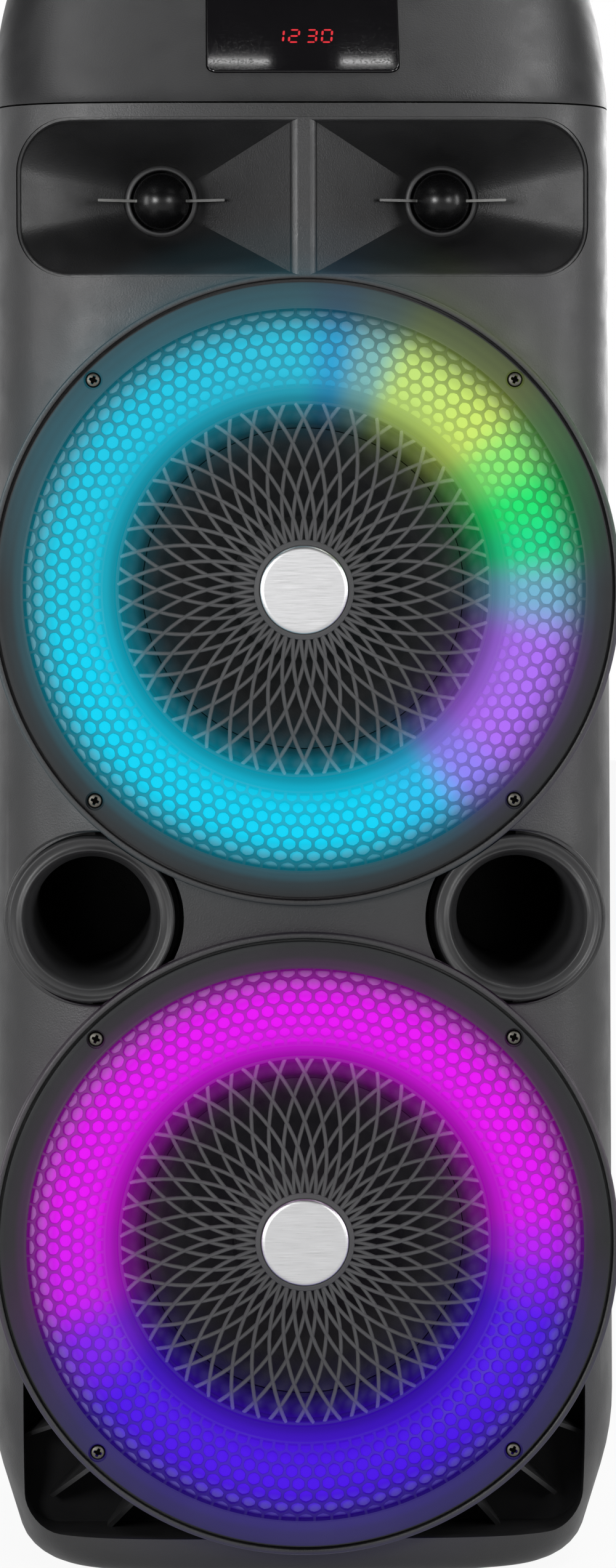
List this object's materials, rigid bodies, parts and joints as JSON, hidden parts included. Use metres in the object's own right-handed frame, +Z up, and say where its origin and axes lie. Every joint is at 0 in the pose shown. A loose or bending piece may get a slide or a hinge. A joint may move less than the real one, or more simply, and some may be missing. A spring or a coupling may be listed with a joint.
{
  "type": "party speaker",
  "caption": "Upright portable loudspeaker tower with lit round woofer covers, a twin horn, bass ports, a leaning top with display and controls, wheels and a pull-out handle.",
  "frame": {"origin": "middle of the bounding box on the floor plane, under the foot strips", "axes": "+X to the right seen from the front, the front looks to -Y, +Z up along the tower"},
  "size_m": [0.3146, 0.2984, 0.8444],
  "materials": {
    "case_plastic": "fine matte texture",
    "trim_plastic": "satin",
    "gloss_black": "gloss",
    "light_diffuser": "translucent",
    "rubber": "matte",
    "cone_paper": "matte",
    "spider_cloth": "woven",
    "screw_steel": "plated",
    "brushed_aluminium": "brushed",
    "ferrite": "matte",
    "circuit_board": "satin",
    "battery_wrap": "satin",
    "steel": "plated"
  },
  "bodies": {
    "cabinet": {"rear_shell": "case_plastic", "front_baffle": "case_plastic", "top_cap": "case_plastic", "control_panel": "trim_plastic", "display_window": "gloss_black", "control_board": "circuit_board", "rear_plate": "trim_plastic", "foot_front": "rubber", "foot_rear": "rubber", "horn_waveguide": "trim_plastic", "phase_plug_left": "trim_plastic", "phase_plug_right": "trim_plastic", "tweeter_left": "ferrite", "tweeter_right": "ferrite", "bass_port_left": "trim_plastic", "bass_port_right": "trim_plastic", "main_board": "circuit_board", "battery_pack": "battery_wrap", "power_inlet": "gloss_black", "trolley_guide": "trim_plastic", "wheel_axle": "steel", "upper_grille_ring": "trim_plastic", "upper_light_ring": "light_diffuser", "upper_centre_grille": "trim_plastic", "upper_badge": "brushed_aluminium", "upper_led_board": "circuit_board", "upper_basket": "steel", "upper_motor": "ferrite", "upper_surround": "rubber", "upper_spider": "spider_cloth", "upper_screw_1": "screw_steel", "upper_screw_2": "screw_steel", "upper_screw_3": "screw_steel", "upper_screw_4": "screw_steel", "lower_grille_ring": "trim_plastic", "lower_light_ring": "light_diffuser", "lower_centre_grille": "trim_plastic", "lower_badge": "brushed_aluminium", "lower_led_board": "circuit_board", "lower_basket": "steel", "lower_motor": "ferrite", "lower_surround": "rubber", "lower_spider": "spider_cloth", "lower_screw_1": "screw_steel", "lower_screw_2": "screw_steel", "lower_screw_3": "screw_steel", "lower_screw_4": "screw_steel"},
    "upper_cone_body": {"upper_cone": "cone_paper"},
    "lower_cone_body": {"lower_cone": "cone_paper"},
    "trolley": {"trolley_frame": "steel", "trolley_grip": "trim_plastic"},
    "wheel_left_body": {"wheel_left": "rubber"},
    "wheel_right_body": {"wheel_right": "rubber"},
    "volume": {"volume_knob": "trim_plastic"},
    "mode": {"mode_button": "trim_plastic"},
    "play": {"play_button": "trim_plastic"},
    "light": {"light_button": "trim_plastic"},
    "echo": {"echo_button": "trim_plastic"},
    "rocker": {"power_rocker": "gloss_black"}
  },
  "joints": [
    {"name": "upper_cone_slide", "type": "slide", "parent": "cabinet", "child": "upper_cone_body", "axis": [0, 1, 0], "range_m": [-0.004, 0.004], "stiffness_N_per_m": 1800, "deforming": ["upper_surround", "upper_spider"]},
    {"name": "lower_cone_slide", "type": "slide", "parent": "cabinet", "child": "lower_cone_body", "axis": [0, 1, 0], "range_m": [-0.004, 0.004], "stiffness_N_per_m": 1800, "deforming": ["lower_surround", "lower_spider"]},
    {"name": "trolley_slide", "type": "slide", "parent": "cabinet", "child": "trolley", "axis": [0, 0, 1], "range_m": [0, 0.26]},
    {"name": "wheel_left_spin", "type": "hinge", "parent": "cabinet", "child": "wheel_left_body", "pos_m": [-0.1265, 0.11596, 0.0335], "axis": [1, 0, 0], "continuous": true},
    {"name": "wheel_right_spin", "type": "hinge", "parent": "cabinet", "child": "wheel_right_body", "pos_m": [0.1265, 0.11596, 0.0335], "axis": [1, 0, 0], "continuous": true},
    {"name": "volume_turn", "type": "hinge", "parent": "cabinet", "child": "volume", "pos_m": [0, 0.00064, 0.82386], "axis": [0, -0.1045, 0.9945], "continuous": true},
    {"name": "mode_press", "type": "slide", "parent": "cabinet", "child": "mode", "axis": [0, -0.1045, 0.9945], "range_m": [-0.0012, 0], "stiffness_N_per_m": 900},
    {"name": "play_press", "type": "slide", "parent": "cabinet", "child": "play", "axis": [0, -0.1045, 0.9945], "range_m": [-0.0012, 0], "stiffness_N_per_m": 900},
    {"name": "light_press", "type": "slide", "parent": "cabinet", "child": "light", "axis": [0, -0.1045, 0.9945], "range_m": [-0.0012, 0], "stiffness_N_per_m": 900},
    {"name": "echo_press", "type": "slide", "parent": "cabinet", "child": "echo", "axis": [0, -0.1045, 0.9945], "range_m": [-0.0012, 0], "stiffness_N_per_m": 900},
    {"name": "rocker_tilt", "type": "hinge", "parent": "cabinet", "child": "rocker", "pos_m": [0.02, 0.14606, 0.36], "axis": [1, 0, 0], "range_deg": [0, 14]}
  ]
}
